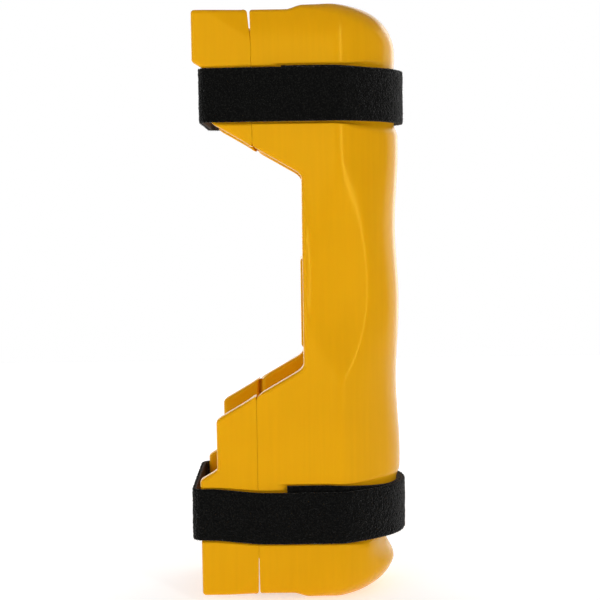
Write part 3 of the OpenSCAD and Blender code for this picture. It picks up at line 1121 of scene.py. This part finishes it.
class GUARD_OT_wings(bpy.types.Operator):
    """Build the four rear wings and their living hinges"""

    bl_idname = "guard.wings"
    bl_label = "Wings and hinges"

    def execute(self, context):
        plastic = material_of("moulded_plastic", moulded_plastic)
        for level, up in (("upper", 1), ("lower", -1)):
            for hand, side in (("left", 1), ("right", -1)):
                body = f"wing_{level}_{hand}"
                wing = build_wing(f"{body}_plate", side, up, plastic)
                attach(wing, body)
                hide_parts(body)
                node = f"hinge_{level}_{hand}"
                web = build_web(f"{node}_strip", node, plastic)
                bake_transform(web)
                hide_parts(node)
        return {"FINISHED"}


class GUARD_OT_straps(bpy.types.Operator):
    """Build the two hook-and-loop straps and their loose ends"""

    bl_idname = "guard.straps"
    bl_label = "Straps"

    def execute(self, context):
        build_strap("upper", 1)
        build_strap("lower", -1)
        return {"FINISHED"}


# -------------------- stage

CAMERA_PLACE = (-1.3, -911.6, 80.2)
CAMERA_PITCH = math.radians(4.926)
CAMERA_ROLL = math.radians(-0.787)
CAMERA_YAW = math.radians(-0.040)
CAMERA_LENS = 68.65
FLOOR_HALF = 1300.0
FLOOR_GAP = 0.2
FLOOR_GLOW = 0.44
SURROUND_GLOW = 0.24

# Each light's place in millimetres, its size in metres and its power in watts
LIGHTS = {
    "key": ((-1000, -1050, 0), (1.2, 1.0), 7.2),
    "front": ((0, -2600, 0), (1.1, 1.5), 7.8),
    "fill_right": ((1150, 850, 100), (1.4, 1.6), 9),
    "fill_left": ((-1150, 850, 100), (1.4, 1.6), 9),
    "backdrop": ((0, 1500, 100), (3.0, 2.4), 27),
    "front_strip": ((700, -1035, 250), (0.1, 0.9), 3.6),
    "overhead": ((0, 0, 1500), (1.6, 1.6), 1.5),
}


def build_camera():
    """A view of the right side from a little above, slightly rolled."""
    cp, sp = math.cos(CAMERA_PITCH), math.sin(CAMERA_PITCH)
    cy, sy = math.cos(CAMERA_YAW), math.sin(CAMERA_YAW)
    cr, sr = math.cos(CAMERA_ROLL), math.sin(CAMERA_ROLL)
    flat = np.array([-sy, cy, 0.0])
    up_z = np.array([0.0, 0.0, 1.0])
    ahead = cp * flat - sp * up_z
    right = np.array([cy, sy, 0.0])
    up = sp * flat + cp * up_z
    turned_right = cr * right + sr * up
    turned_up = cr * up - sr * right
    view = np.eye(4)
    view[:3, 0], view[:3, 1], view[:3, 2] = turned_right, turned_up, -ahead
    view[:3, 3] = np.array(CAMERA_PLACE) * MM
    camera = bpy.data.objects.new("camera", bpy.data.cameras.new("camera"))
    camera.data.lens = CAMERA_LENS
    camera.data.sensor_width = 36.0
    camera.data.clip_start = 0.01
    camera.matrix_world = Matrix(view.tolist())
    bpy.context.scene.collection.objects.link(camera)
    bpy.context.scene.camera = camera


def build_floor():
    """A plain pale floor under the guard's foot, which glows a little."""
    z = -NOSE_Z - sizes().floor_drop / MM - FLOOR_GAP
    u = np.linspace(-FLOOR_HALF, FLOOR_HALF, 3)
    x, y = np.meshgrid(u, u)
    points = np.stack([x, y, np.full_like(x, z)], -1).reshape(-1, 3)
    floor = make_piece("floor", points, lattice_faces(3, 3).tolist(), floor_white())


def build_lights():
    """Soft area lights and a dim surround, which the camera itself sees as plain white."""
    world = bpy.data.worlds.new("surround")
    world.use_nodes = True
    nodes, link = world.node_tree.nodes, world.node_tree.links.new
    glow = nodes["Background"]
    glow.inputs["Color"].default_value = (1, 1, 1, 1)
    glow.inputs["Strength"].default_value = SURROUND_GLOW
    seen = nodes.new("ShaderNodeBackground")
    seen.inputs["Color"].default_value = (1, 1, 1, 1)
    rays = nodes.new("ShaderNodeLightPath")
    either = nodes.new("ShaderNodeMixShader")
    link(rays.outputs["Is Camera Ray"], either.inputs["Fac"])
    link(glow.outputs["Background"], either.inputs[1])
    link(seen.outputs["Background"], either.inputs[2])
    link(either.outputs["Shader"], nodes["World Output"].inputs["Surface"])
    bpy.context.scene.world = world
    bpy.context.scene.view_settings.view_transform = "Standard"
    for name, (place, size, power) in LIGHTS.items():
        soft_light(name, place, size, power)


def soft_light(name, place, size, power):
    """A rectangular area light that faces the guard."""
    lamp = bpy.data.lights.new(name, "AREA")
    lamp.shape = "RECTANGLE"
    lamp.size, lamp.size_y = size
    lamp.energy = power
    light = bpy.data.objects.new(name, lamp)
    light.location = Vector(place) * MM
    light.rotation_euler = (-light.location).to_track_quat("-Z", "Y").to_euler()
    bpy.context.scene.collection.objects.link(light)


# -------------------- panel and running

CLASSES = [GuardSizes, GUARD_OT_stage, GUARD_OT_body, GUARD_OT_wings, GUARD_OT_straps]


class GUARD_PT_panel(bpy.types.Panel):
    """Lists the settings and the steps that build the guard"""

    bl_idname = "GUARD_PT_panel"
    bl_label = "Rack upright guard"
    bl_space_type = "VIEW_3D"
    bl_region_type = "UI"
    bl_category = "Guard"

    def draw(self, context):
        for key in GuardSizes.__annotations__:
            self.layout.prop(context.scene.guard_sizes, key)
        for kind in CLASSES[1:]:
            self.layout.operator(kind.bl_idname)


def register():
    for kind in CLASSES + [GUARD_PT_panel]:
        bpy.utils.register_class(kind)
    bpy.types.Scene.guard_sizes = bpy.props.PointerProperty(type=GuardSizes)


def unregister():
    del bpy.types.Scene.guard_sizes
    for kind in reversed(CLASSES + [GUARD_PT_panel]):
        bpy.utils.unregister_class(kind)


def main():
    register()
    bpy.ops.guard.stage()
    bpy.ops.guard.body()
    bpy.ops.guard.wings()
    bpy.ops.guard.straps()


if __name__ == "__main__":
    main()
